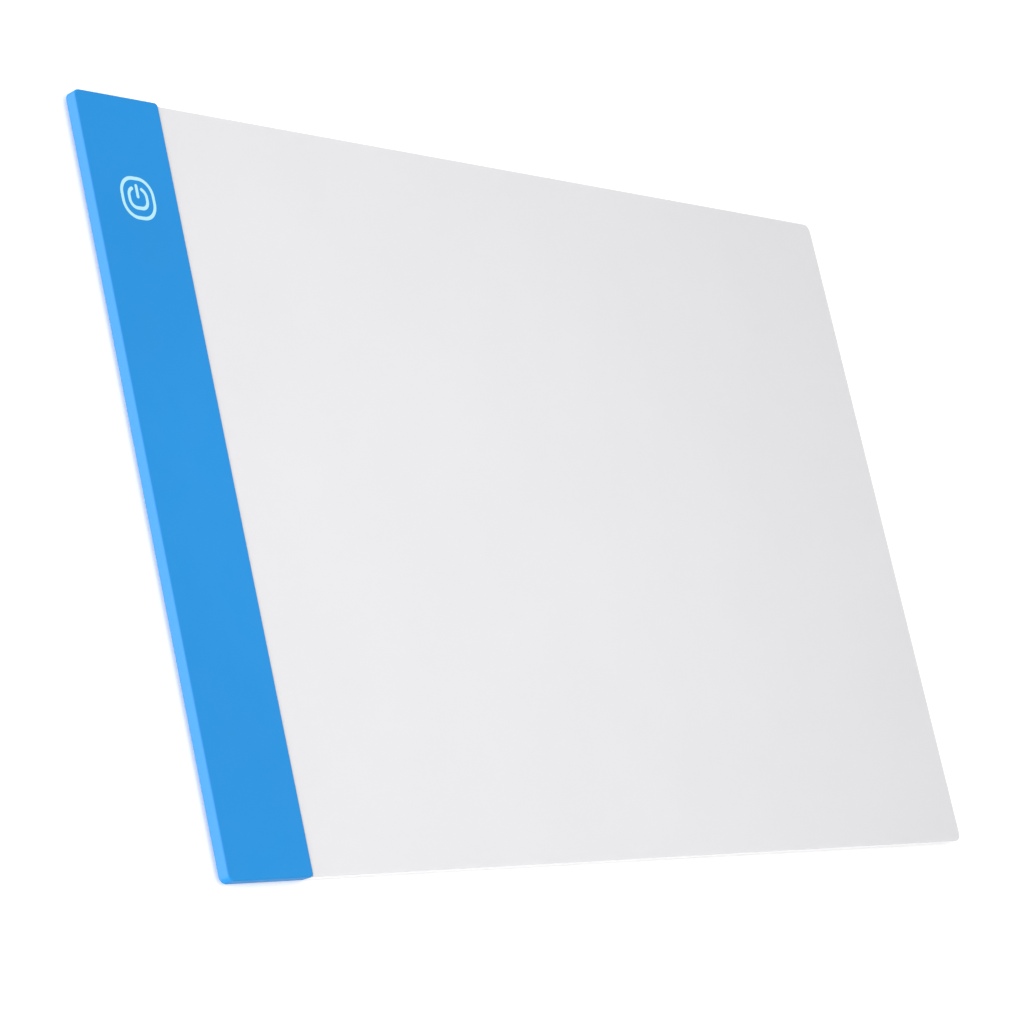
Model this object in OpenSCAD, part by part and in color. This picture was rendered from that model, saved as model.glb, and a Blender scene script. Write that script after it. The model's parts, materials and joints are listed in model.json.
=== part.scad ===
// A4 light pad: a thin edge-lit drawing panel with a control bar along one short side.
//
// Frame: the pad lies flat, drawing face up. X runs along the long side, away from the control bar,
// Y runs along the bar towards the power inlet, and Z is up. The origin is on the surface that the
// feet stand on, under the middle of the pad.

/* [Panel] */
// Length of the white panel, from the control bar to the far edge
panel_w = 300; // [280:1:360]
// Short side of the white panel, along the control bar
panel_l = 211; // [211:0.5:212]
// Radius of the panel's two far corners
panel_corner = 2.5; // [2.2:0.1:4]
// How far the panel sits off the middle of the bar, towards the end without the inlet
panel_offset = 0.4; // [0:0.1:0.5]

/* [Panel layers, from the back] */
// Thickness of the white back plate
back_plate_t = 0.5; // [0.4:0.05:0.6]
// Thickness of the reflector film
reflector_t = 0.15; // [0.1:0.05:0.2]
// Thickness of the light guide plate
guide_t = 2; // [1.9:0.05:2.1]
// Thickness of the diffuser film
diffuser_t = 0.15; // [0.1:0.05:0.2]
// Thickness of the milky drawing sheet
sheet_t = 0.45; // [0.35:0.05:0.5]
// Radius of the drawing sheet's outer edges
sheet_edge = 0.15; // [0.1:0.05:0.15]

/* [Edge trim] */
// Thickness of the trim beside the panel
trim_wall = 0.4; // [0.3:0.05:0.5]
// Width of the trim's lips, under the drawing sheet and on the back
trim_lip = 1.2; // [1:0.1:1.8]
// Radius of the trim's lower edge
trim_edge = 0.35; // [0.2:0.05:0.4]
// Hairline gap between the trim's lips and the film or plate inside them
lip_gap = 0.1; // [0.05:0.01:0.2]

/* [Control bar] */
// Width of the bar, across its short side
bar_w = 30.5; // [30:0.5:36]
// Length of the bar
bar_l = 212; // [212:0.5:214]
// Thickness of the bar
bar_h = 3.5; // [3.5:0.05:3.6]
// Radius of the bar's two outer corners
bar_corner = 2.2; // [1.8:0.1:3]
// Radius of the bar's two corners beside the panel
bar_inner_corner = 1.2; // [0.8:0.1:1.5]
// Radius of the bar's edges
bar_edge = 0.4; // [0.2:0.05:0.5]
// Thickness of the bar's side and end walls
bar_wall = 1.5; // [1.4:0.1:1.6]

/* [Touch key] */
// Distance from the key's middle to the panel
key_from_panel = 14.5; // [12:0.1:16]
// Distance from the key's middle to the inlet end of the bar
key_from_end = 29.1; // [26:0.1:32]
// Width of the ring round the power mark
key_ring_w = 12.2; // [10:0.1:13]
// Width of the printed lines
key_line = 1; // [0.8:0.1:1.1]

/* [Power inlet] */
// Width of the inlet's metal shell
usb_w = 7.5; // [7.4:0.05:7.6]
// Height of the inlet's metal shell
usb_h = 2.45; // [2.4:0.01:2.45]
// Depth of the inlet's metal shell
usb_d = 5.2; // [5:0.1:5.6]

/* [Light strip] */
// Number of light-emitting diodes
led_count = 42; // [30:1:46]
// How far the panel reaches into the bar, to meet the diodes
tongue = 5; // [4.5:0.5:5.5]

/* [Feet] */
// Height of the rubber feet
foot_h = 1; // [0.8:0.1:2]
// Radius of the rubber feet
foot_r = 4; // [3:0.5:5]
// Distance from the feet to the ends of the pad
foot_inset_x = 15; // [14:1:20]
// Distance from the feet to the sides of the pad
foot_inset_y = 18; // [16:1:22]

/* [Hidden] */

$fn = 48;
eps = 0.01;  // overshoot of a cut past a face

// Plan of the pad
pad_w = bar_w + panel_w;
x_outer = -pad_w / 2;          // outer side of the bar
x_joint = x_outer + bar_w;     // where the bar meets the panel
x_far = pad_w / 2;             // far edge of the panel
y_inlet = bar_l / 2;           // inlet end of the bar

// Levels of the layers
z_back = foot_h;
z_reflector = z_back + back_plate_t;
z_guide = z_reflector + reflector_t;
z_diffuser = z_guide + guide_t;
z_sheet = z_diffuser + diffuser_t;
z_face = z_sheet + sheet_t;
z_bar_face = z_back + bar_h;

// Cover and its screws
cover_gap = 0.1;
cover_rebate = 0.6;             // the cover rests on a ledge this wide
screw_rows = [-26, -10];        // from the joint
screw_spots = concat(
    [for (x = screw_rows, y = [-98, -24, 50]) [x_joint + x, y]],
    [[x_joint + screw_rows[0], 98]]
);
screw_head_r = 1.6;
screw_head_h = 0.5;
screw_shank_r = 0.8;
screw_l = 2;
screw_end_gap = 0.1;
screw_hole_r = 0.95;
screw_sink_r = 1.75;
screw_sink = 0.6;               // depth of the hole that hides the head
pad_r = 2.6;
boss_r = 2.2;
z_boss = z_reflector + 0.7;     // where a cover pad meets a housing boss

// Panel layers that reach into the bar are this much narrower there, at each side
reach_margin = 2.5;

// Light strip, measured back from the joint
led_l = 4;
led_h = 1.4;
led_t = 0.7;
led_gap = 0.1;                  // air gap to the light guide
strip_t = 0.8;
strip_l = 204;
strip_h = 2.1;
led_pitch = (strip_l - led_l) / led_count;
x_led = x_joint - tongue - led_gap - led_t;
x_strip = x_led - strip_t;
leds_per_resistor = 3;
rib_t = 0.8;
rib_gap = 0.7;                  // room for the resistors behind the strip

// Control board
board_w = 13.8;
board_l = 38.2;
board_t = 0.8;
board_lift = 0.5;
board_clear = 0.3;              // from the board's end to the end wall
x_board = x_joint - 16.2;       // middle of the board and of the inlet
y_board = y_inlet - bar_wall - board_clear - board_l;
z_board = z_reflector + board_lift;
z_board_top = z_board + board_t;

touch_chip_at = [x_board - 3.6, y_inlet - 14];
touch_chip_size = [1.6, 2.9, 0.8];
transistor_at = [x_board - 3.6, y_board + 7];
transistor_size = [1.3, 2.9, 0.8];
lead_pitch = 0.95;

// Power inlet
usb_sheet = 0.25;
usb_chamfer = 0.9;
usb_recess = 0.4;               // from the end of the bar to the inlet's mouth
usb_clear = 0.1;
y_usb = y_inlet - usb_recess - usb_d;
z_usb = z_back + (bar_h - usb_h) / 2;
usb_block_l = 1.2;
tongue_w = 4.2;
tongue_t = 0.6;
tongue_inset = 0.5;
contact_w = 0.3;
contact_t = 0.1;
contact_pitch = 0.65;
contact_count = 5;
contact_tail = 1.2;

// Touch key
x_key = x_joint - key_from_panel;
y_key = y_inlet - key_from_end;
key_print = 0.15;
key_ring_corner = 0.84;         // corner radius as a share of half the ring's width
mark_w = 6.3;
mark_l = 5.6;
mark_corner = 2.3;
mark_gap = 1.75;                // from the middle to the middle of the arc's round ends
mark_end_y = mark_l / 2 - mark_corner
    + sqrt(mark_corner ^ 2 - (mark_gap - mark_w / 2 + mark_corner) ^ 2);
stroke_low = 0.45;
stroke_high = 3.5;
electrode_r = 4.5;

// Wires
wire_r = 0.4;
wire_bend = 2;
wire_z = z_board_top + wire_r;
wire_on_board = 3;

// ---------------------------------------------------------------- shared shapes

// Rectangle from a corner at low, size wide, with its two +X corners rounded
module far_rounded(low, size, r) {
    translate(low) {
        square([size[0] - r, size[1]]);
        translate([size[0] - r - eps, r]) square([r + eps, size[1] - 2 * r]);
        for (y = [r, size[1] - r]) translate([size[0] - r, y]) circle(r);
    }
}

// Rectangle round the origin with all four corners rounded
module rounded(size, r) {
    square([size[0] - 2 * r, size[1]], center = true);
    square([size[0], size[1] - 2 * r], center = true);
    for (x = [-1, 1], y = [-1, 1]) translate([x * (size[0] / 2 - r), y * (size[1] / 2 - r)]) circle(r);
}

// Section of a slab's rim: u runs outwards from 0, v up, with both outer corners rounded
module rim_section(depth, height, edge) {
    square([depth - edge, height]);
    translate([0, edge]) square([depth, height - 2 * edge]);
    for (v = [edge, height - edge]) translate([depth - edge, v]) circle(edge);
}

// A straight length of rim along +Y, with its outside facing +X at x = 0
module rim_along(length) {
    translate([0, length, 0]) rotate([90, 0, 0]) linear_extrude(length) children();
}

// One end of a slab: flat at x = 0, with rounded edges and two rounded corners at x = w
module slab_end(w, l, h, corner, edge) {
    straight_w = w - corner;
    straight_l = l - 2 * corner;
    translate([0, -straight_l / 2, 0]) cube([straight_w, straight_l, h]);
    translate([straight_w, -straight_l / 2, 0]) rim_along(straight_l) rim_section(corner, h, edge);
    translate([straight_w, straight_l / 2, 0]) rotate([0, 0, 90])
        rim_along(straight_w) rim_section(corner, h, edge);
    translate([0, -straight_l / 2, 0]) rotate([0, 0, -90])
        rim_along(straight_w) rim_section(corner, h, edge);
    translate([straight_w, straight_l / 2, 0]) rotate_extrude(angle = 90) rim_section(corner, h, edge);
    translate([straight_w, -straight_l / 2, 0]) rotate([0, 0, -90])
        rotate_extrude(angle = 90) rim_section(corner, h, edge);
}

// Plan of a panel layer: inset from the panel's outline, reaching into the bar by reach
module layer_plan(inset, reach) {
    corner = panel_corner - inset;
    translate([0, -panel_offset])
        far_rounded([x_joint, -panel_l / 2 + inset], [panel_w - inset, panel_l - 2 * inset], corner);
    if (reach > 0)
        translate([x_joint - reach, -panel_l / 2 + reach_margin])
            square([reach + 1, panel_l - 2 * reach_margin]);
}
module layer(z, t, inset, reach) {
    translate([0, 0, z]) linear_extrude(t) layer_plan(inset, reach);
}

// A small chip package's body and its leads, centred on spot
module chip_body(spot, size) {
    translate([spot[0] - size[0] / 2, spot[1] - size[1] / 2, z_board_top + 0.1]) cube(size);
}

// Leads on one side of a chip: side is -1 or 1 along X
module chip_leads(spot, size, side, count, pitch) {
    lead_w = 0.4;
    lead_out = 0.55;
    lead_t = 0.15;
    x = spot[0] + side * size[0] / 2;
    for (i = [0 : count - 1])
        translate([x, spot[1] + (i - (count - 1) / 2) * pitch - lead_w / 2, z_board_top])
            mirror([side < 0 ? 1 : 0, 0, 0]) {
                cube([lead_out, lead_w, lead_t]);
                cube([lead_t, lead_w, size[2] / 2]);
            }
}

// Plan of the inlet's shell, grown by grow
module usb_plan(grow) {
    w = usb_w / 2 + grow;
    low = -grow;
    high = usb_h + grow;
    cut = usb_chamfer;
    polygon([[-w, high], [-w, low + cut], [-w + cut, low], [w - cut, low], [w, low + cut], [w, high]]);
}

module usb_along(y, l, grow) {
    translate([x_board, y + l, z_usb]) rotate([90, 0, 0]) linear_extrude(l) usb_plan(grow);
}

// A wire from the control board that turns once and ends at the light strip
module wire(x, y_turn) {
    y_start = y_board + wire_on_board;
    first_l = y_start - y_turn - wire_bend;
    last_l = x_strip - x - wire_bend;
    translate([x, y_start, wire_z]) rotate([90, 0, 0]) cylinder(h = first_l, r = wire_r);
    translate([x + wire_bend, y_turn + wire_bend, wire_z]) rotate([0, 0, 180])
        rotate_extrude(angle = 90) translate([wire_bend, 0]) circle(wire_r);
    translate([x + wire_bend, y_turn, wire_z]) rotate([0, 90, 0]) cylinder(h = last_l, r = wire_r);
}

// ---------------------------------------------------------------- control bar

module bar_block() {
    half = bar_w / 2;
    translate([x_outer + half, 0, z_back]) {
        slab_end(half, bar_l, bar_h, bar_inner_corner, bar_edge);
        mirror([1, 0, 0]) slab_end(half, bar_l, bar_h, bar_corner, bar_edge);
    }
}

// Hollow of the bar: open at the panel's side, inset from the bar's outline by wall
module bar_hollow(wall, z_low, z_high) {
    corner = bar_corner - wall;
    translate([0, 0, z_low]) linear_extrude(z_high - z_low)
        mirror([1, 0, 0])
            far_rounded([-x_joint - 1, -bar_l / 2 + wall], [bar_w - wall + 1, bar_l - 2 * wall], corner);
}

module bar_housing() {
    color("dodgerblue") {
        difference() {
            bar_block();
            bar_hollow(bar_wall, z_reflector - eps, z_sheet);
            bar_hollow(bar_wall - cover_rebate, z_back - 1, z_reflector);
            usb_along(y_inlet - bar_wall - 1, bar_wall + 2, usb_clear);
            usb_roof();
            translate([0, 0, z_bar_face - key_print]) linear_extrude(1) power_plan();
        }
        for (spot = screw_spots) housing_boss(spot);
        housing_rib();
    }
}

// Room above the inlet's shell in the face's inner side
module usb_roof() {
    translate([x_board - usb_w / 2 - 2 * usb_clear, y_usb - 2 * usb_clear, z_sheet - 1])
        cube([usb_w + 4 * usb_clear, usb_d, z_usb + usb_h + usb_clear - z_sheet + 1]);
}

module housing_boss(spot) {
    z_screw_end = z_back + screw_sink + screw_l;
    translate([spot[0], spot[1], z_boss]) difference() {
        cylinder(h = z_sheet - z_boss + eps, r = boss_r);
        translate([0, 0, -eps]) cylinder(h = z_screw_end + screw_end_gap - z_boss, r = screw_shank_r);
    }
}

// Rib that stands behind the light strip
module housing_rib() {
    rib_low = -100;
    rib_high = 40;
    translate([x_strip - rib_gap - rib_t, rib_low, z_boss])
        cube([rib_t, rib_high - rib_low, z_sheet - z_boss + eps]);
}

module bar_back_cover() {
    inset = bar_wall - cover_rebate + cover_gap;
    size = [bar_w - inset, bar_l - 2 * inset];
    color("dodgerblue") difference() {
        union() {
            translate([0, 0, z_back]) linear_extrude(z_reflector - z_back)
                mirror([1, 0, 0]) far_rounded([-x_joint, -size[1] / 2], size, bar_corner - inset);
            for (spot = screw_spots)
                translate([spot[0], spot[1], z_back]) cylinder(h = z_boss - z_back, r = pad_r);
        }
        for (spot = screw_spots) translate([spot[0], spot[1], z_back - eps]) {
            cylinder(h = screw_sink + eps, r = screw_sink_r);
            cylinder(h = z_boss - z_back + 1, r = screw_hole_r);
        }
    }
}

module cover_screws() {
    cross_l = 1.7;
    cross_w = 0.35;
    cross_h = 0.3;
    z_head = z_back + screw_sink - screw_head_h;
    color("silver") for (spot = screw_spots) translate([spot[0], spot[1], z_head]) difference() {
        union() {
            cylinder(h = screw_head_h, r = screw_head_r);
            cylinder(h = screw_head_h + screw_l, r = screw_shank_r);
        }
        for (turn = [0, 90]) rotate([0, 0, turn]) cube([cross_l, cross_w, 2 * cross_h], center = true);
    }
}

// Plan of the printed ring and power mark
module power_plan() {
    translate([x_key, y_key]) {
        difference() {
            ring_outline(0);
            ring_outline(key_line);
        }
        difference() {
            rounded([mark_w + key_line, mark_l + key_line], mark_corner + key_line / 2);
            rounded([mark_w - key_line, mark_l - key_line], mark_corner - key_line / 2);
            translate([-mark_gap, 0]) square([2 * mark_gap, mark_l]);
        }
        for (x = [-mark_gap, mark_gap]) translate([x, mark_end_y]) circle(key_line / 2);
        translate([-key_line / 2, stroke_low]) square([key_line, stroke_high - stroke_low]);
        for (y = [stroke_low, stroke_high]) translate([0, y]) circle(key_line / 2);
    }
}

module ring_outline(inset) {
    half = key_ring_w / 2;
    rounded([2 * (half - inset), 2 * (half - inset)], half * key_ring_corner - inset);
}

module power_symbol() {
    color("azure") translate([0, 0, z_bar_face - key_print]) linear_extrude(key_print) power_plan();
}

// ---------------------------------------------------------------- panel

module front_sheet() {
    color("whitesmoke") translate([x_joint, -panel_offset, z_sheet])
        slab_end(panel_w, panel_l, sheet_t, panel_corner, sheet_edge);
}

module diffuser_film() {
    film_reach = 2;
    color("white") layer(z_diffuser, diffuser_t, trim_lip + lip_gap, film_reach);
}

module light_guide_plate() {
    color("lightcyan") layer(z_guide, guide_t, trim_wall, tongue);
}

module reflector_film() {
    color("white") layer(z_reflector, reflector_t, trim_wall, tongue);
}

module back_plate() {
    color("whitesmoke") layer(z_back, back_plate_t, trim_lip + lip_gap, 0);
}

// Section of the trim: a channel that grips the edge of the light guide and the reflector, with
// the drawing sheet on top of it
module trim_section() {
    height = z_sheet - z_back;
    slot = trim_lip - trim_wall;
    difference() {
        union() {
            square([trim_lip - trim_edge, height]);
            translate([0, trim_edge]) square([trim_lip, height - trim_edge]);
            translate([trim_lip - trim_edge, trim_edge]) circle(trim_edge);
        }
        translate([-eps, z_reflector - z_back]) square([slot + eps, z_diffuser - z_reflector]);
    }
}

module edge_trim() {
    straight_w = panel_w - panel_corner;
    straight_l = panel_l - 2 * panel_corner;
    color("white") translate([0, -panel_offset, z_back]) {
        translate([x_far - trim_lip, -straight_l / 2, 0]) rim_along(straight_l) trim_section();
        translate([x_joint + straight_w, panel_l / 2 - trim_lip, 0]) rotate([0, 0, 90])
            rim_along(straight_w) trim_section();
        translate([x_joint, -panel_l / 2 + trim_lip, 0]) rotate([0, 0, -90])
            rim_along(straight_w) trim_section();
        for (side = [-1, 1])
            translate([x_far - panel_corner, side * straight_l / 2, 0]) rotate([0, 0, side > 0 ? 0 : -90])
                rotate_extrude(angle = 90) translate([panel_corner - trim_lip, 0]) trim_section();
    }
}

// ---------------------------------------------------------------- light strip

module led_board() {
    color("white") translate([x_strip, -strip_l / 2, z_reflector]) cube([strip_t, strip_l, strip_h]);
}

module leds() {
    z = z_guide + (guide_t - led_h) / 2;
    color("lemonchiffon") for (i = [0 : led_count - 1])
        translate([x_led, (i - (led_count - 1) / 2) * led_pitch - led_l / 2, z])
            cube([led_t, led_l, led_h]);
}

module led_resistors() {
    size = [0.45, 1.6, 0.8];
    step = leds_per_resistor * led_pitch;
    count = floor(led_count / leds_per_resistor);
    z = z_reflector + (strip_h - size[2]) / 2;
    color("black") for (i = [0 : count - 1])
        translate([x_strip - size[0], (i - (count - 1) / 2) * step - size[1] / 2, z]) cube(size);
}

module light_seal_tape() {
    tape_t = 0.1;
    cover_strip = 0.2;
    onto_guide = 2.5;
    x_start = x_strip - cover_strip;
    color("silver") translate([x_start, -strip_l / 2, z_diffuser])
        cube([x_joint - tongue + onto_guide - x_start, strip_l, tape_t]);
}

// ---------------------------------------------------------------- control board

module control_board() {
    notch_l = usb_d - usb_recess - bar_wall + 1;
    color("seagreen") difference() {
        translate([x_board - board_w / 2, y_board, z_board]) cube([board_w, board_l, board_t]);
        translate([x_board - usb_w / 2 - usb_clear, y_usb - usb_clear, z_board - 1])
            cube([usb_w + 2 * usb_clear, notch_l + 1, board_t + 2]);
    }
}

module board_tape() {
    size = [11, 5, board_lift];
    color("whitesmoke") for (y = [3, 24])
        translate([x_board - size[0] / 2, y_board + y, z_reflector]) cube(size);
}

module touch_electrode() {
    color("dimgray") translate([x_key, y_key, z_board_top])
        cylinder(h = z_sheet - z_board_top, r = electrode_r);
}

module touch_chip() {
    color("black") chip_body(touch_chip_at, touch_chip_size);
}

module touch_chip_pins() {
    color("silver") for (side = [-1, 1]) chip_leads(touch_chip_at, touch_chip_size, side, 3, lead_pitch);
}

module dimmer_transistor() {
    color("black") chip_body(transistor_at, transistor_size);
}

module transistor_pins() {
    color("silver") {
        chip_leads(transistor_at, transistor_size, -1, 2, 2 * lead_pitch);
        chip_leads(transistor_at, transistor_size, 1, 1, lead_pitch);
    }
}

module board_resistors() {
    size = [1.6, 0.8, 0.45];
    color("black") for (x = [-0.2, 3], y = [-10, -12, -14])
        translate([x_board + x - size[0] / 2, y_inlet + y - size[1] / 2, z_board_top]) cube(size);
}

module board_capacitors() {
    size = [2, 1.25, 0.85];
    color("tan") for (y = [-17.2, -19.4])
        translate([x_board - 3.6 - size[0] / 2, y_inlet + y - size[1] / 2, z_board_top]) cube(size);
}

// ---------------------------------------------------------------- power inlet

module usb_shell() {
    tab = [1 + usb_sheet, 1.6, usb_sheet];
    tab_x = (usb_w + tab[0]) / 2 - usb_sheet;
    color("silver") {
        difference() {
            usb_along(y_usb, usb_d, 0);
            usb_along(y_usb - 1, usb_d + 2, -usb_sheet);
        }
        for (side = [-1, 1])
            translate([x_board + side * tab_x, y_usb + 2, z_board_top + tab[2] / 2])
                cube(tab, center = true);
    }
}

module usb_insert() {
    color("black") difference() {
        union() {
            usb_along(y_usb, usb_block_l, -usb_sheet);
            translate([x_board - tongue_w / 2, y_usb + eps, z_board_top - tongue_t])
                cube([tongue_w, usb_d - tongue_inset - eps, tongue_t]);
        }
        for (i = [0 : contact_count - 1]) usb_contact(i);
    }
}

module usb_contact(i) {
    x = x_board + (i - (contact_count - 1) / 2) * contact_pitch;
    translate([x - contact_w / 2, y_usb - contact_tail, z_board_top])
        cube([contact_w, contact_tail + usb_d - 2 * tongue_inset, contact_t]);
}

module usb_contacts() {
    color("gold") for (i = [0 : contact_count - 1]) usb_contact(i);
}

// ---------------------------------------------------------------- wires and feet

module wire_red() {
    color("red") wire(x_board + 3.2, y_board - 4);
}

module wire_black() {
    color("black") wire(x_board + 1.2, y_board - 7);
}

module rubber_feet() {
    x = pad_w / 2 - foot_inset_x;
    y = bar_l / 2 - foot_inset_y;
    edge = 0.3;
    color("gainsboro") for (side = [-1, 1], end = [-1, 1]) translate([side * x, end * y, 0])
        rotate_extrude() {
            translate([0, edge]) square([foot_r, foot_h - edge]);
            square([foot_r - edge, foot_h]);
            translate([foot_r - edge, edge]) circle(edge);
        }
}

bar_housing();
bar_back_cover();
cover_screws();
power_symbol();
front_sheet();
diffuser_film();
light_guide_plate();
reflector_film();
back_plate();
edge_trim();
led_board();
leds();
led_resistors();
light_seal_tape();
control_board();
board_tape();
touch_electrode();
touch_chip();
touch_chip_pins();
dimmer_transistor();
transistor_pins();
board_resistors();
board_capacitors();
usb_shell();
usb_insert();
usb_contacts();
wire_red();
wire_black();
rubber_feet();
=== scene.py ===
"""Looks of the A4 light pad: materials, fine pieces, floor, lights and camera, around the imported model.

Everything is in metres, in the model's own frame: X runs away from the control bar, Y towards the
power inlet, and Z up out of the drawing face.
"""

import json
import math

import bmesh
import bpy
from mathutils import Matrix, Vector


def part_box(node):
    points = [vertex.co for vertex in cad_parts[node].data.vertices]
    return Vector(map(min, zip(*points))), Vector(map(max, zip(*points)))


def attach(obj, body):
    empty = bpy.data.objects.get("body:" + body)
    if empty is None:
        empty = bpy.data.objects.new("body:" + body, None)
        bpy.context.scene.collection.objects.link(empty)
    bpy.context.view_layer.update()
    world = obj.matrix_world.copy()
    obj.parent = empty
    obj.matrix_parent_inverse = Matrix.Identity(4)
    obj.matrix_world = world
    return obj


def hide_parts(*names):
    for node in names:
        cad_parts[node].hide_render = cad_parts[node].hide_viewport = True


MM = 0.001
TIP = 0.02 * MM  # radius of the small flat where a turned shape meets its axis

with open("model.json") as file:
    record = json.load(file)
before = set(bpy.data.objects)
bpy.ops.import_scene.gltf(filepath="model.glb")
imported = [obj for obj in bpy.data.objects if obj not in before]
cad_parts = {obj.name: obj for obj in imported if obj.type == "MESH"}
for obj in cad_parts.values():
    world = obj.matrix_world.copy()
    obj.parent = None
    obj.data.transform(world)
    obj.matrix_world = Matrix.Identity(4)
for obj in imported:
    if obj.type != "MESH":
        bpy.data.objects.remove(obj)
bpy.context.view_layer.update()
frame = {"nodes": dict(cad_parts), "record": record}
nodes = frame["nodes"]
sheet_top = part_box("front_sheet")[1].z
bar_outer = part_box("bar_housing")[0].x

# ---------------------------------------------------------------- material helpers


class Shader:
    """One material: a Principled shader and the nodes that feed it."""

    def __init__(self, name, color, roughness, **sockets):
        self.material = bpy.data.materials.new(name)
        self.material.use_nodes = True
        self.tree = self.material.node_tree
        self.bsdf = self.tree.nodes["Principled BSDF"]
        self.color = color
        self.roughness = roughness
        self.set("Base Color", (*color, 1.0))
        self.set("Roughness", roughness)
        for socket, value in sockets.items():
            self.set(socket.replace("_", " ").title().replace("Ior", "IOR"), value)
        self.place = self.add("ShaderNodeTexCoord").outputs["Object"]
        self.bump_end = None

    def set(self, socket, value):
        self.bsdf.inputs[socket].default_value = value

    def add(self, kind, **values):
        node = self.tree.nodes.new(kind)
        for key, value in values.items():
            if hasattr(node, key):
                setattr(node, key, value)
            else:
                node.inputs[key].default_value = value
        return node

    def link(self, output, target):
        self.tree.links.new(output, target)

    def noise(self, size, detail=2.0, rough=0.5, stretch=(1, 1, 1)):
        """Noise whose blobs are about size metres across, stretched along the axes by stretch."""
        mapping = self.add("ShaderNodeMapping")
        mapping.inputs["Scale"].default_value = [1 / s for s in stretch]
        self.link(self.place, mapping.inputs["Vector"])
        noise = self.add("ShaderNodeTexNoise", Scale=1 / size, Detail=detail, Roughness=rough)
        self.link(mapping.outputs["Vector"], noise.inputs["Vector"])
        return noise.outputs["Fac"]

    def cells(self, size):
        """Rounded cells about size metres across: 0 in a cell's middle, more at its edge."""
        cells = self.add("ShaderNodeTexVoronoi", feature="SMOOTH_F1", Scale=1 / size, Smoothness=0.6)
        self.link(self.place, cells.inputs["Vector"])
        return cells.outputs["Distance"]

    def along(self, axis, start, end):
        """0 before start and 1 past end, along one axis of the model."""
        split = self.add("ShaderNodeSeparateXYZ")
        self.link(self.place, split.inputs["Vector"])
        return self.spread(split.outputs[axis], 0.0, 1.0, start, end)

    def spread(self, value, low_value, high_value, low_at=0.3, high_at=0.7):
        """Maps a pattern's range low_at to high_at to low_value to high_value."""
        ranged = self.add("ShaderNodeMapRange")
        self.link(value, ranged.inputs["Value"])
        for key, number in zip(
            ("From Min", "From Max", "To Min", "To Max"), (low_at, high_at, low_value, high_value)
        ):
            ranged.inputs[key].default_value = number
        return ranged.outputs["Result"]

    def mix(self, factor, first, second):
        """Sets the base colour to go from first to second with factor. Each is a colour or an output."""
        mix = self.add("ShaderNodeMix", data_type="RGBA")
        self.link(factor, mix.inputs["Factor"])
        for socket, value in (mix.inputs[6], first), (mix.inputs[7], second):
            if isinstance(value, bpy.types.NodeSocket):
                self.link(value, socket)
            else:
                socket.default_value = (*value, 1.0)
        self.link(mix.outputs[2], self.bsdf.inputs["Base Color"])
        return mix.outputs[2]

    def tint(self, pattern, amount):
        """Lets the base colour wander by amount, as a share of itself, after a pattern."""
        dark = [c * (1 - amount) for c in self.color]
        light = [min(1.0, c * (1 + amount)) for c in self.color]
        return self.mix(self.spread(pattern, 0.0, 1.0), dark, light)

    def wander(self, pattern, amount):
        """Lets the roughness wander by amount each way after a pattern."""
        rough = self.spread(pattern, self.roughness - amount, self.roughness + amount)
        self.link(rough, self.bsdf.inputs["Roughness"])

    def bump(self, pattern, depth, strength=1.0):
        """Raises the surface by a pattern, depth metres high. Calls add up."""
        bump = self.add("ShaderNodeBump", Strength=strength, Distance=depth)
        self.link(pattern, bump.inputs["Height"])
        if self.bump_end:
            self.link(self.bump_end, bump.inputs["Normal"])
        self.bump_end = bump.outputs["Normal"]
        self.link(self.bump_end, self.bsdf.inputs["Normal"])


# ---------------------------------------------------------------- materials


def moulded_blue():
    """Satin blue ABS with the spark-eroded grain of its mould, and a painted highlight: paler down its
    outer side, where the side light falls.
    """
    s = Shader("moulded_blue", (0.009, 0.216, 0.549), 0.6, specular_ior_level=0.21)
    body = s.tint(s.noise(60 * MM, 3), 0.025)
    # painted highlight: the outer side wall is given a paler blue, standing in for the side light falling
    # on it
    painted_lit_side = s.along("X", bar_outer + 0.5 * MM, bar_outer + 0.1 * MM)
    s.mix(painted_lit_side, body, (0.05, 0.225, 0.56))
    s.wander(s.noise(9 * MM, 4), 0.05)
    s.bump(s.cells(0.28 * MM), 0.02 * MM, 0.5)
    s.bump(s.noise(0.12 * MM, 2), 0.012 * MM, 0.5)
    return s.material


def key_ink():
    """Pale pad-printed ink, a little glossier than the plastic round it."""
    s = Shader("key_ink", (0.37, 0.64, 0.73), 0.4)
    s.tint(s.noise(0.5 * MM, 3), 0.04)
    s.bump(s.noise(0.12 * MM, 2), 0.008 * MM, 0.5)
    return s.material


def opal_sheet():
    """Milky acrylic drawing sheet: a matt skin over a white body that light sinks into."""
    s = Shader("opal_sheet", (0.621, 0.619, 0.634), 0.5, subsurface_weight=0.25, subsurface_scale=1.5 * MM)
    s.set("Subsurface Radius", (1.0, 1.0, 1.0))
    s.tint(s.noise(45 * MM, 2), 0.008)
    s.wander(s.noise(3 * MM, 4), 0.04)
    s.bump(s.noise(0.15 * MM, 3), 0.008 * MM, 0.5)
    return s.material


def white_band():
    """Satin white edge band, drawn along its length."""
    s = Shader("white_band", (0.82, 0.82, 0.825), 0.42, subsurface_weight=0.1, subsurface_scale=0.5 * MM)
    s.tint(s.noise(12 * MM, 2), 0.012)
    s.bump(s.noise(0.3 * MM, 2), 0.008 * MM, 0.5)
    return s.material


def back_sheet():
    """Matt white back sheet with a fine leathery press."""
    s = Shader("back_sheet", (0.7, 0.7, 0.7), 0.55)
    s.tint(s.noise(35 * MM, 3), 0.015)
    s.wander(s.noise(5 * MM, 3), 0.05)
    s.bump(s.cells(0.6 * MM), 0.03 * MM, 0.5)
    return s.material


def white_film():
    s = Shader("white_film", (0.85, 0.85, 0.85), 0.6)
    s.tint(s.noise(20 * MM, 2), 0.01)
    s.bump(s.noise(0.2 * MM, 2), 0.003 * MM, 0.5)
    return s.material


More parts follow.
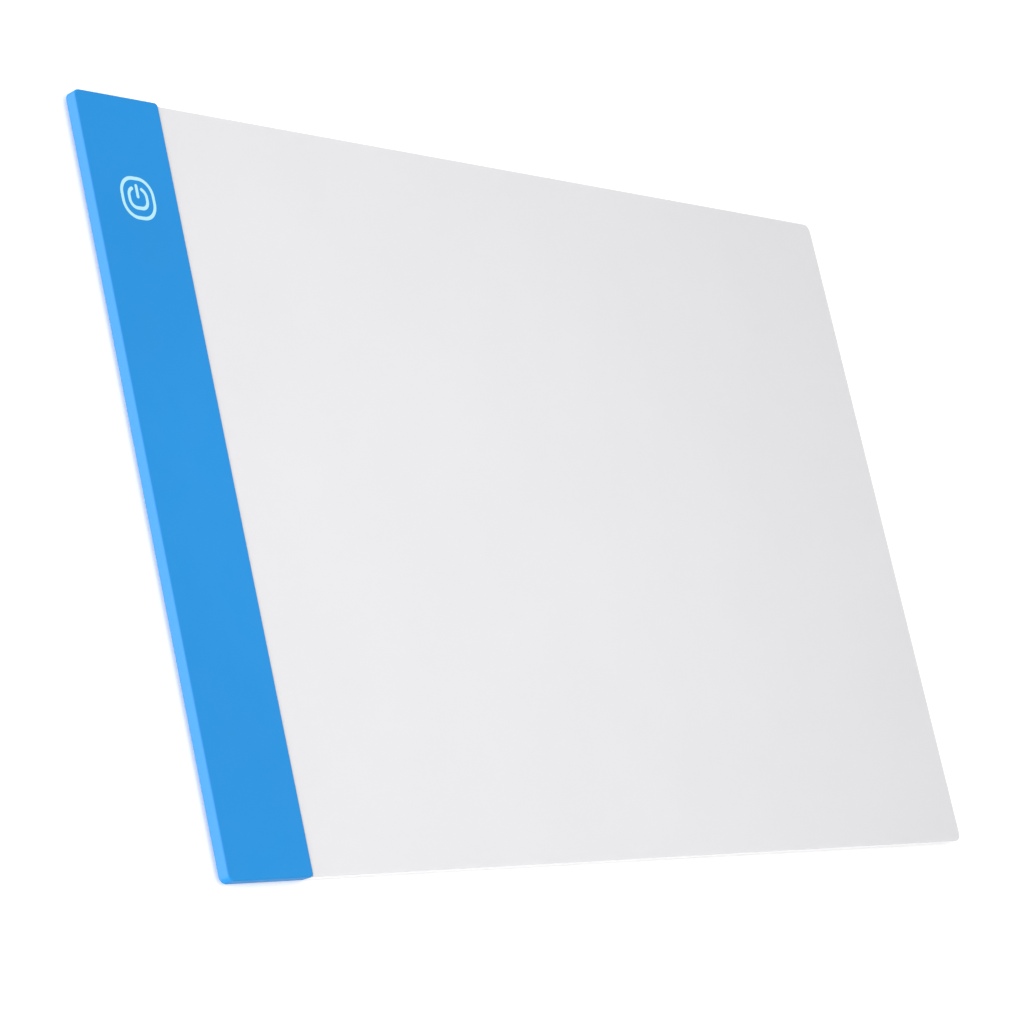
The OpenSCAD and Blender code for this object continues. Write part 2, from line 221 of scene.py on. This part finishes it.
def clear_acrylic():
    s = Shader("clear_acrylic", (0.93, 0.98, 0.98), 0.05, ior=1.49, transmission_weight=0.9)
    s.wander(s.noise(8 * MM, 2), 0.02)
    return s.material


def plated_steel():
    """Nickel-plated steel with faint rolling lines."""
    s = Shader("plated_steel", (0.6, 0.59, 0.57), 0.28, metallic=1.0)
    s.tint(s.noise(1.5 * MM, 3), 0.06)
    s.wander(s.noise(0.6 * MM, 3, stretch=(6, 1, 1)), 0.08)
    s.bump(s.noise(0.08 * MM, 2, stretch=(8, 1, 1)), 0.002 * MM, 0.5)
    return s.material


def solder_mask(name, color):
    s = Shader(name, color, 0.3)
    s.tint(s.noise(6 * MM, 3), 0.06)
    s.bump(s.noise(0.25 * MM, 2), 0.006 * MM, 0.5)
    return s.material


def led_plastic():
    s = Shader("led_plastic", (0.86, 0.86, 0.83), 0.45)
    s.tint(s.noise(0.8 * MM, 2), 0.03)
    return s.material


def phosphor():
    """Yellow silicone that fills an LED's window."""
    s = Shader("phosphor", (0.85, 0.6, 0.1), 0.35)
    s.tint(s.noise(0.3 * MM, 3), 0.08)
    s.bump(s.noise(0.1 * MM, 2), 0.01 * MM, 0.5)
    return s.material


def moulded_black():
    s = Shader("moulded_black", (0.02, 0.02, 0.022), 0.5)
    s.tint(s.noise(0.8 * MM, 3), 0.15)
    s.bump(s.noise(0.08 * MM, 2), 0.003 * MM, 0.6)
    return s.material


def fired_ceramic():
    s = Shader("fired_ceramic", (0.4, 0.28, 0.17), 0.55)
    s.tint(s.noise(0.3 * MM, 3), 0.1)
    return s.material


def foil_tape():
    s = Shader("foil_tape", (0.78, 0.78, 0.78), 0.3, metallic=1.0)
    s.wander(s.noise(2 * MM, 3), 0.1)
    s.bump(s.noise(1.5 * MM, 3), 0.02 * MM, 0.5)
    return s.material


def foam(name, color):
    s = Shader(name, color, 0.9)
    s.tint(s.noise(0.3 * MM, 3), 0.12)
    s.bump(s.cells(0.25 * MM), 0.05 * MM)
    return s.material


def gold_plate():
    s = Shader("gold_plate", (0.8, 0.56, 0.2), 0.25, metallic=1.0)
    s.wander(s.noise(0.4 * MM, 2), 0.06)
    return s.material


def wire_jacket(name, color):
    s = Shader(name, color, 0.4)
    s.tint(s.noise(0.7 * MM, 2), 0.08)
    s.bump(s.noise(0.3 * MM, 2), 0.006 * MM, 0.5)
    return s.material


def grey_rubber():
    """Soft grey silicone rubber, slightly dusty."""
    s = Shader("grey_rubber", (0.42, 0.42, 0.425), 0.7, subsurface_weight=0.15, subsurface_scale=1.0 * MM)
    s.tint(s.noise(2 * MM, 4), 0.06)
    s.wander(s.noise(1 * MM, 3), 0.08)
    s.bump(s.noise(0.15 * MM, 3), 0.015 * MM, 0.6)
    return s.material


def floor_paint():
    """Plain white acrylic table, faintly lit from below, so that shadows stay soft and thin."""
    s = Shader("floor_paint", (0.93, 0.93, 0.93), 0.85, specular_ior_level=0.2)
    s.set("Emission Color", (1, 1, 1, 1))
    s.set("Emission Strength", 0.15)
    s.tint(s.noise(0.5, 2), 0.004)
    return s.material


BY_SLOT = {
    "blue_plastic": moulded_blue(),
    "key_print": key_ink(),
    "opal_sheet": opal_sheet(),
    "white_trim": white_band(),
    "back_sheet": back_sheet(),
    "film": white_film(),
    "acrylic": clear_acrylic(),
    "steel": plated_steel(),
    "white_board": solder_mask("white_mask", (0.78, 0.79, 0.76)),
    "green_board": solder_mask("green_mask", (0.015, 0.16, 0.06)),
    "led_body": led_plastic(),
    "chip_black": moulded_black(),
    "ceramic_part": fired_ceramic(),
    "seal_tape": foil_tape(),
    "foam_tape": foam("white_foam", (0.75, 0.75, 0.72)),
    "conductive_foam": foam("dark_foam", (0.06, 0.06, 0.065)),
    "gold_contact": gold_plate(),
    "wire_red": wire_jacket("red_jacket", (0.5, 0.02, 0.015)),
    "wire_black": wire_jacket("black_jacket", (0.015, 0.015, 0.016)),
    "foot_rubber": grey_rubber(),
}


def dress_nodes():
    """Gives every CAD node the material of its slot in the record."""
    for part in frame["record"]["subparts"]:
        mesh = nodes[part["node"]].data
        mesh.materials.clear()
        mesh.materials.append(BY_SLOT[part["material_slot"]])


# ---------------------------------------------------------------- shape helpers


def fillet(points, radii, steps=5, closed=False):
    """The polyline with each corner rounded to its own radius, 0 for a sharp one."""
    rounded = []
    last = len(points) - 1
    for i, (point, radius) in enumerate(zip(points, radii)):
        here = Vector(point)
        if radius == 0 or (not closed and i in (0, last)):
            rounded.append(here)
            continue
        before = (Vector(points[i - 1]) - here).normalized()
        after = (Vector(points[(i + 1) % (last + 1)]) - here).normalized()
        half = before.angle(after) / 2
        reach = radius / math.tan(half)
        middle = here + (before + after).normalized() * (radius / math.sin(half))
        start = here + before * reach - middle
        end = here + after * reach - middle
        rounded += [middle + start.slerp(end, k / steps) * radius for k in range(steps + 1)]
    return rounded


def loft(bm, loops, ring=False):
    """Skins loops of equal length and closes both ends, or joins the last loop to the first for a ring."""
    rings = [[bm.verts.new(p) for p in loop] for loop in loops]
    for low, high in zip(rings, rings[1:] + rings[:1] if ring else rings[1:]):
        for i in range(len(low)):
            j = (i + 1) % len(low)
            bm.faces.new((low[i], low[j], high[j], high[i]))
    if not ring:
        bm.faces.new(reversed(rings[0]))
        bm.faces.new(rings[-1])


def lathe(bm, centre, profile, segments=64):
    """Turns a profile of (radius, height) points, from end to end, about a vertical axis at centre."""
    turns = [2 * math.pi * k / segments for k in range(segments)]
    loft(bm, [
        [centre + Vector((max(r, TIP) * math.cos(t), max(r, TIP) * math.sin(t), z)) for t in turns]
        for r, z in profile
    ])


def solid_boxes(node):
    """The lowest and highest corner of each separate solid of a CAD node."""
    bm = bmesh.new()
    bm.from_mesh(nodes[node].data)
    bmesh.ops.remove_doubles(bm, verts=bm.verts, dist=0.001 * MM)
    boxes = []
    seen = set()
    for seed in bm.verts:
        if seed in seen:
            continue
        seen.add(seed)
        solid = [seed]
        for vert in solid:
            fresh = {edge.other_vert(vert) for edge in vert.link_edges} - seen
            seen |= fresh
            solid += fresh
        low = Vector([min(vert.co[k] for vert in solid) for k in range(3)])
        high = Vector([max(vert.co[k] for vert in solid) for k in range(3)])
        boxes.append((low, high))
    bm.free()
    return boxes


def new_piece(name, bm, slot, replaced=(), material=None):
    """Turns bm into a piece that rides on the pad, smooth apart from its sharp edges."""
    bmesh.ops.recalc_face_normals(bm, faces=bm.faces)
    mesh = bpy.data.meshes.new(name)
    bm.to_mesh(mesh)
    bm.free()
    mesh.shade_smooth()
    mesh.set_sharp_from_angle(angle=math.radians(35))
    mesh.materials.append(material or BY_SLOT[slot])
    piece = bpy.data.objects.new(name, mesh)
    bpy.context.scene.collection.objects.link(piece)
    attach(piece, "root")
    if replaced:
        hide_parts(*replaced)
    return piece


# ---------------------------------------------------------------- fine pieces


def build_feet():
    """Moulded bumper feet: drafted rims, a groove inside the tread ring and a dimple in the sole."""
    bm = bmesh.new()
    for low, high in solid_boxes("rubber_feet"):
        r = (high.x - low.x) / 2
        groove = 0.25 * MM
        profile = [
            (0, high.z, 0), (r - 0.25 * MM, high.z, 0), (r, high.z - 0.3 * MM, 0),
            (r - 0.35 * MM, 0, 0), (r - 1.1 * MM, 0, 0), (r - 1.3 * MM, groove, 0),
            (r - 1.7 * MM, groove, 0), (r - 1.9 * MM, 0, 0), (1.0 * MM, 0, 0),
            (0.7 * MM, groove, 0), (0, groove, 0),
        ]
        radii = [v * MM for v in (0, 0.1, 0.12, 0.25, 0.06, 0.06, 0.06, 0.06, 0.1, 0.1, 0)]
        centre = Vector(((low.x + high.x) / 2, (low.y + high.y) / 2, 0))
        lathe(bm, centre, [(p.x, p.y) for p in fillet(profile, radii)])
    new_piece("moulded_feet", bm, "foot_rubber", ["rubber_feet"])


def phillips_cutter(name, centre, z_mouth, depth, reach, half_width):
    """A cross whose four wings taper in towards its tip, opening downwards at z_mouth."""
    bm = bmesh.new()
    for turn, share in (0, 1.0), (math.pi / 2, 0.93):
        loops = []
        for z, r, w in (
            (z_mouth - depth * share, reach * 1.25, half_width * 1.15),
            (z_mouth + depth * share, reach * 0.3, half_width * 0.75),
        ):
            corners = [(-r, -w), (r, -w), (r, w), (-r, w)]
            spun = [Vector((x, y, 0)) @ Matrix.Rotation(turn, 3, "Z") for x, y in corners]
            loops.append([Vector((centre.x + p.x, centre.y + p.y, z)) for p in spun])
        loft(bm, loops)
    bmesh.ops.recalc_face_normals(bm, faces=bm.faces)
    mesh = bpy.data.meshes.new(name)
    bm.to_mesh(mesh)
    bm.free()
    cutter = bpy.data.objects.new(name, mesh)
    bpy.context.scene.collection.objects.link(cutter)
    return cutter


def cut(piece, cutter):
    """Takes the cutter's shape out of the piece for good, and removes the cutter."""
    boolean = piece.modifiers.new("cut", "BOOLEAN")
    boolean.object = cutter
    boolean.solver = "EXACT"
    boolean.use_self = True
    bpy.context.view_layer.update()
    evaluated = piece.evaluated_get(bpy.context.evaluated_depsgraph_get())
    cut_mesh = bpy.data.meshes.new_from_object(evaluated)
    piece.modifiers.clear()
    piece.data = cut_mesh
    bpy.data.objects.remove(cutter)


def screw_loops(centre, z_head, z_under, z_tip, head_r, shank_r):
    """Rings of a thread-forming screw from its crowned head up to its tip, its thread one long helix."""
    segments = 32
    ridge_half = 0.28           # half of the thread's width at its root, in turns of pitch
    rings_per_turn = 8
    tip_share = 0.25            # of the root's radius, left at the very tip
    root_r = shank_r * 0.74
    pitch = 0.5 * MM
    crown = 0.09 * MM
    head = fillet(
        [(0, z_head, 0), (head_r * 0.6, z_head + crown * 0.25, 0), (head_r, z_head + crown * 1.8, 0),
         (head_r, z_under, 0), (root_r, z_under, 0)],
        [0, head_r * 0.3, 0.12 * MM, 0.06 * MM, 0],
    )
    sections = [(max(p.x, TIP), p.y, 0.0) for p in head]
    z_start = z_under + 0.1 * MM
    z_cone = z_tip - 0.5 * MM
    steps = int((z_tip - z_start) / (pitch / rings_per_turn))
    for k in range(steps + 1):
        z = z_start + (z_tip - z_start) * k / steps
        taper = 1.0 if z < z_cone else max(0.0, (z_tip - z) / (z_tip - z_cone))
        radius = root_r * (tip_share + (1 - tip_share) * taper)
        sections.append((radius, z, (shank_r - root_r) * taper))
    rings = []
    for radius, z, thread in sections:
        ring = []
        for i in range(segments):
            turn = 2 * math.pi * i / segments
            phase = (z / pitch - i / segments) % 1.0
            ridge = max(0.0, 1 - abs(phase - 0.5) / ridge_half)
            r = radius + thread * ridge
            ring.append(Vector((centre.x + r * math.cos(turn), centre.y + r * math.sin(turn), z)))
        rings.append(ring)
    return rings


def build_screws():
    """Cross-head thread-forming screws that hold the bar's back cover."""
    head_h = 0.5 * MM
    cross_depth = 0.42 * MM
    cross_half_width = 0.17 * MM
    for number, (low, high) in enumerate(solid_boxes("cover_screws"), 1):
        centre = Vector(((low.x + high.x) / 2, (low.y + high.y) / 2, 0))
        head_r = (high.x - low.x) / 2
        bm = bmesh.new()
        loft(bm, screw_loops(centre, low.z, low.z + head_h, high.z, head_r, head_r / 2))
        name = f"cross_screw_{number}"
        replaced = ["cover_screws"] if number == 1 else []
        screw = new_piece(name, bm, "steel", replaced)
        cutter = phillips_cutter("cutter", centre, low.z, cross_depth, head_r * 0.58, cross_half_width)
        cut(screw, cutter)


def build_led_windows():
    """A domed phosphor window in the light-giving face of each LED."""
    bm = bmesh.new()
    proud = 0.03 * MM
    rim, crown_rim = 0.22 * MM, 0.32 * MM
    for low, high in solid_boxes("leds"):
        rings = []
        for x, margin in (high.x - proud, rim), (high.x, rim), (high.x + proud, crown_rim):
            corners = [
                (x, low.y + margin, low.z + margin), (x, high.y - margin, low.z + margin),
                (x, high.y - margin, high.z - margin), (x, low.y + margin, high.z - margin),
            ]
            rings.append(fillet(corners, [0.18 * MM] * 4, 4, closed=True))
        loft(bm, rings)
    new_piece("led_windows", bm, "led_body", material=phosphor())


def usb_outline(middle, half_width, low_z, high_z, y, inset):
    """Outline of the inlet at one depth: square at the top, chamfered below, with rounded corners."""
    top, bottom = 0.3 * MM - inset, 0.5 * MM - inset
    chamfer = 0.9 * MM
    left, right = middle - half_width, middle + half_width
    corners = [
        (left, y, high_z), (left, y, low_z + chamfer), (left + chamfer, y, low_z),
        (right - chamfer, y, low_z), (right, y, low_z + chamfer), (right, y, high_z),
    ]
    return fillet(corners, [top, bottom, bottom, bottom, bottom, top], 4, closed=True)


def build_usb_shell():
    """Folded steel shell of the inlet, with a coined lip at its mouth and rounded solder tabs."""
    low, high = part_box("usb_shell")
    insert_low, insert_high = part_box("usb_insert")
    sheet = 0.25 * MM
    lip = 0.08 * MM
    middle = (low.x + high.x) / 2
    half_width = (insert_high.x - insert_low.x) / 2 + sheet
    loops = []
    for inset, y in (
        (0, low.y), (0, high.y - lip), (0.3 * lip, high.y - 0.3 * lip), (lip, high.y),
        (sheet - lip, high.y), (sheet - 0.3 * lip, high.y - 0.3 * lip), (sheet, high.y - lip),
        (sheet, low.y),
    ):
        loops.append(usb_outline(middle, half_width - inset, low.z + inset, high.z - inset, y, inset))
    bm = bmesh.new()
    loft(bm, loops, ring=True)

    tab_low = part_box("control_board")[1].z
    tab_y, tab_half = low.y + 2.0 * MM, 0.8 * MM
    for side, tip in (-1, low.x), (1, high.x):
        root = middle + side * (half_width - sheet / 2)
        plan = fillet(
            [(root, tab_y - tab_half, 0), (tip, tab_y - tab_half, 0),
             (tip, tab_y + tab_half, 0), (root, tab_y + tab_half, 0)],
            [0, 0.3 * MM, 0.3 * MM, 0], 4,
        )
        loft(bm, [[Vector((p.x, p.y, z)) for p in plan] for z in (tab_low, tab_low + sheet)])
    new_piece("folded_usb_shell", bm, "steel", ["usb_shell"])


# ---------------------------------------------------------------- stage


def build_floor():
    half = 6.0
    mesh = bpy.data.meshes.new("floor")
    corners = [(-half, -half, 0), (half, -half, 0), (half, half, 0), (-half, half, 0)]
    mesh.from_pydata(corners, [], [(0, 1, 2, 3)])
    mesh.materials.append(floor_paint())
    floor = bpy.data.objects.new("floor", mesh)
    bpy.context.scene.collection.objects.link(floor)


def look_from(azimuth, elevation, roll):
    """Turn of an object that looks at the origin from there. Azimuth 0 is from -Y, 90 from +X."""
    a, e, r = (math.radians(v) for v in (azimuth, elevation, roll))
    back = Vector((math.sin(a) * math.cos(e), -math.cos(a) * math.cos(e), math.sin(e)))
    level = Vector((math.cos(a), math.sin(a), 0))
    level_up = back.cross(level)
    right = level * math.cos(r) + level_up * math.sin(r)
    up = back.cross(right)
    return Matrix((right, up, back)).transposed(), back


def add_camera():
    """The camera stands off the bar's side, rolled so that the pad stands upright in the picture."""
    turn, back = look_from(azimuth=-73.0, elevation=37.2, roll=67.04)
    aim = Vector((-26.09 * MM, -1.96 * MM, sheet_top))
    data = bpy.data.cameras.new("camera")
    data.lens = 122.6
    data.sensor_width = 36.0
    data.clip_start = 0.01
    camera = bpy.data.objects.new("camera", data)
    camera.matrix_world = Matrix.Translation(aim + back * 0.97635) @ turn.to_4x4()
    bpy.context.scene.collection.objects.link(camera)
    bpy.context.scene.camera = camera


def add_softbox(name, aim, azimuth, elevation, distance, size, power, color):
    """A soft rectangular light that shines at aim and isn't seen itself."""
    turn, back = look_from(azimuth, elevation, 0)
    data = bpy.data.lights.new(name, "AREA")
    data.shape = "RECTANGLE"
    data.size, data.size_y = size
    data.energy = power
    data.color = color
    light = bpy.data.objects.new(name, data)
    light.visible_camera = False
    light.matrix_world = Matrix.Translation(Vector(aim) + back * distance) @ turn.to_4x4()
    bpy.context.scene.collection.objects.link(light)
    return light


def light_scene():
    scene = bpy.context.scene
    world = bpy.data.worlds.new("studio")
    world.use_nodes = True
    world.node_tree.nodes["Background"].inputs["Color"].default_value = (1, 1, 1, 1)
    world.node_tree.nodes["Background"].inputs["Strength"].default_value = 0.85
    scene.world = world
    scene.view_settings.view_transform = "Standard"
    violet, warm = (0.985, 0.97, 1.0), (1.0, 1.0, 0.985)
    side_light = add_softbox("side_light", (0, 0, 0), -88, 14, 2.5, (1.2, 0.8), 62, violet)
    side_light.visible_glossy = False  # its glare would drown the drawing sheet, seen from the far end
    add_softbox("top_light", (-0.06, -0.04, 0), 0, 90, 0.38, (0.3, 0.3), 0.49, warm)


dress_nodes()
build_feet()
build_screws()
build_led_windows()
build_usb_shell()
build_floor()
add_camera()
light_scene()
